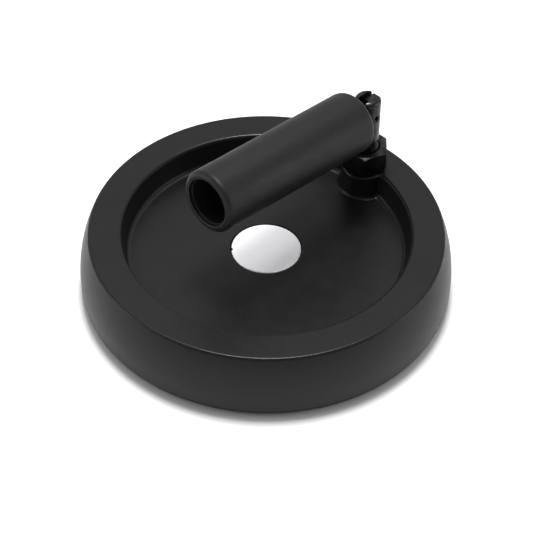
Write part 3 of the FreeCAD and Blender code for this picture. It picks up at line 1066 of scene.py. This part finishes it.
@dataclass
class Grip:
    """Tubular grip that turns on the handle's spindle."""

    radius: float = 13.65
    start: float = 8.2
    length: float = 87.0
    bore: float = 9.85
    recess: float = 8.5
    recess_end: float = 15.7
    spigot: float = 6.0
    wall: float = 4.0
    near_round: float = 3.6
    far_round: float = 2.4
    mouth_step: float = 0.6
    mouth_depth: float = 1.6
    lip_ridge: float = 0.05

    def outline(self) -> np.ndarray:
        """Section along the handle, from the hinge end over the outside and back through the bore.

        Returns:
            Points (radius, distance from the pivot).
        """
        end = self.start + self.length
        lip = self.bore + self.mouth_step
        return rounded_outline(
            [
                Corner(self.recess, self.start, 0.4, 4),
                Corner(self.radius, self.start, self.near_round, 14),
                Corner(self.radius, end, self.far_round, 12),
                Corner(lip + 0.75, end, 0.2, 3),
                Corner(lip + 0.6, end - self.lip_ridge, 0.0),
                Corner(lip, end - self.lip_ridge, 0.25, 4),
                Corner(lip, end - self.mouth_depth, 0.1, 3),
                Corner(self.bore, end - self.mouth_depth, 0.25, 4),
                Corner(self.bore, self.recess_end + self.wall, 0.3, 3),
                Corner(self.spigot, self.recess_end + self.wall, 0.2, 3),
                Corner(self.spigot, self.recess_end, 0.2, 3),
                Corner(self.recess, self.recess_end, 0.2, 3),
            ],
            closed=True,
        )

    @staticmethod
    def along_handle() -> np.ndarray:
        """Carries the Z axis onto the folded handle's line, from the fold hinge outwards.

        Returns:
            A 4 by 4 matrix in millimetres.
        """
        joints = {joint["name"]: joint for joint in frame["joints"]}
        pivot = np.array(joints["handle_fold"]["pos_m"]) / METRE
        line = np.array(joints["grip_spin"]["axis"], float)
        line /= np.linalg.norm(line)
        side = np.array([0.0, 1.0, 0.0])
        matrix = np.eye(4)
        matrix[:3, 0], matrix[:3, 1], matrix[:3, 2] = np.cross(side, line), side, line
        matrix[:3, 3] = pivot
        return matrix

    def build(self, finish: bpy.types.Material) -> None:
        """Makes the grip and dresses it.

        Args:
            finish: Moulded plastic.
        """
        shell = moved(turned(self.outline(), full_circle(160), closed=True), self.along_handle())
        piece = make_piece("grip_tube", [shell], Body.GRIP, "grip")
        piece.data.materials.append(finish)


@dataclass
class CarriedParts:
    """CAD nodes whose shape is right, which only get a finish."""

    def dress(self, finishes: dict[Slot, bpy.types.Material]) -> None:
        """Gives each CAD node the finish of its slot.

        Args:
            finishes: Material for each slot.
        """
        for row in frame["record"]["subparts"]:
            node = frame["nodes"][row["node"]]
            finish = finishes[Slot(row["material_slot"])]
            for place in node.material_slots:
                place.material = finish
            log.info("%s: carried over, dressed as %s", node.name, finish.name)


# ---------------------------------------------------------------------------------------------------
# Studio


@dataclass(frozen=True)
class Softbox:
    """One large soft light."""

    name: str
    place: tuple[float, float, float]
    aim: tuple[float, float, float]
    width: float
    height: float
    power: float

    def hang(self) -> None:
        """Adds the light."""
        data = bpy.data.lights.new(self.name, "AREA")
        data.shape = "RECTANGLE"
        data.size, data.size_y = self.width, self.height
        data.energy = self.power
        light = bpy.data.objects.new(self.name, data)
        light.location = self.place
        direction = Vector(self.aim) - Vector(self.place)
        light.rotation_euler = direction.to_track_quat("-Z", "Y").to_euler()
        bpy.context.scene.collection.objects.link(light)


@dataclass
class Studio:
    """Pale floor, soft lights and the camera."""

    azimuth: float = -45.26
    elevation: float = 42.887
    distance: float = 0.765
    lens: float = 121.6
    roll: float = 0.8588
    shift: float = -0.0713
    aim: tuple[float, float, float] = (0.0, 0.0, 0.0315)
    floor_size: float = 6.0
    dark_surround: float = 0.46
    bright_surround: float = 1.0
    bright_side: tuple[float, float, float] = (0.66, 0.66, 0.36)

    def floor(self) -> None:
        """Adds the floor as a gently uneven matte sheet just under the object."""
        count = 25
        steps = np.linspace(-self.floor_size / 2, self.floor_size / 2, count)
        across, along = np.meshgrid(steps, steps)
        points = np.stack([across, along, np.full_like(across, -0.0001)], axis=-1).reshape(-1, 3)
        index = np.arange(count * count).reshape(count, count)
        quads = np.stack([index[:-1, :-1], index[:-1, 1:], index[1:, 1:], index[1:, :-1]], axis=-1)
        mesh = bpy.data.meshes.new("studio_floor")
        mesh.from_pydata(points, [], quads.reshape(-1, 4).tolist())
        material, nodes, shader = new_material("floor_card", {"IOR": 1.3})
        place = nodes.add("TexCoord").outputs["Object"]
        patches = nodes.noise(place, 3.0, 2.0, 0.5)
        fibres = nodes.noise(place, 60.0, 3.0, 0.5)
        nodes.feed(shader, "Base Color", nodes.blend(patches, grey(0.9), grey(0.92)))
        nodes.feed(shader, "Roughness", nodes.scaled(fibres, 0.3, 0.7, 0.85, 0.95))
        mesh.materials.append(material)
        floor = bpy.data.objects.new("studio_floor", mesh)
        bpy.context.scene.collection.objects.link(floor)

    def lights(self) -> None:
        """Adds the surround and the softboxes."""
        world = bpy.data.worlds.new("surround")
        world.use_nodes = True
        background = next(node for node in world.node_tree.nodes if node.type == "BACKGROUND")
        background.inputs["Color"].default_value = grey(1.0)
        nodes = Nodes(world.node_tree)
        inputs = {0: nodes.add("TexCoord").outputs["Generated"], 1: self.bright_side}
        toward = nodes.add("VectorMath", inputs, operation="DOT_PRODUCT").outputs["Value"]
        strength = nodes.scaled(toward, -0.3, 1.0, self.dark_surround, self.bright_surround)
        nodes.feed(background, "Strength", strength)
        bpy.context.scene.world = world
        for box in (
            Softbox("top_box", (0.08, 0.08, 1.25), (0, 0, 0), 0.34, 0.34, 13.0),
            Softbox("left_box", (-0.85, 0.65, 0.3), (0, 0, 0.02), 0.45, 0.3, 2.2),
            Softbox("right_box", (0.65, -0.85, 0.3), (0, 0, 0.02), 0.45, 0.3, 2.2),
        ):
            box.hang()

    def camera(self) -> None:
        """Adds the camera, aimed at the middle of the ring's top and rolled a little."""
        data = bpy.data.cameras.new("camera")
        data.lens = self.lens
        data.shift_y = self.shift
        camera = bpy.data.objects.new("camera", data)
        turn, rise = math.radians(self.azimuth), math.radians(self.elevation)
        back = Vector((math.sin(turn) * math.cos(rise), -math.cos(turn) * math.cos(rise), math.sin(rise)))
        camera.location = Vector(self.aim) + back * self.distance
        look = (-back).to_track_quat("-Z", "Y") @ Quaternion((0, 0, 1), math.radians(self.roll))
        camera.rotation_mode = "QUATERNION"
        camera.rotation_quaternion = look
        bpy.context.scene.collection.objects.link(camera)
        bpy.context.scene.camera = camera

    def build(self) -> None:
        """Adds everything in the studio."""
        bpy.context.scene.view_settings.view_transform = "Standard"
        bpy.context.scene.view_settings.gamma = 0.8
        self.floor()
        self.lights()
        self.camera()


def main() -> None:
    """Builds the object and the studio."""
    logging.basicConfig(level=logging.INFO, format="%(name)s: %(message)s")
    shop = Workshop.ready()
    finishes = {slot: finish.material(shop) for slot, finish in FINISHES.items()}
    CarriedParts().dress(finishes)
    Wheel().build(finishes[Slot.WHEEL])
    HubCover().build(finishes[Slot.CAP])
    Fasteners().build(finishes[Slot.BLACK_STEEL])
    Grip().build(finishes[Slot.GRIP])
    Studio().build()


if __name__ == "__main__":
    main()
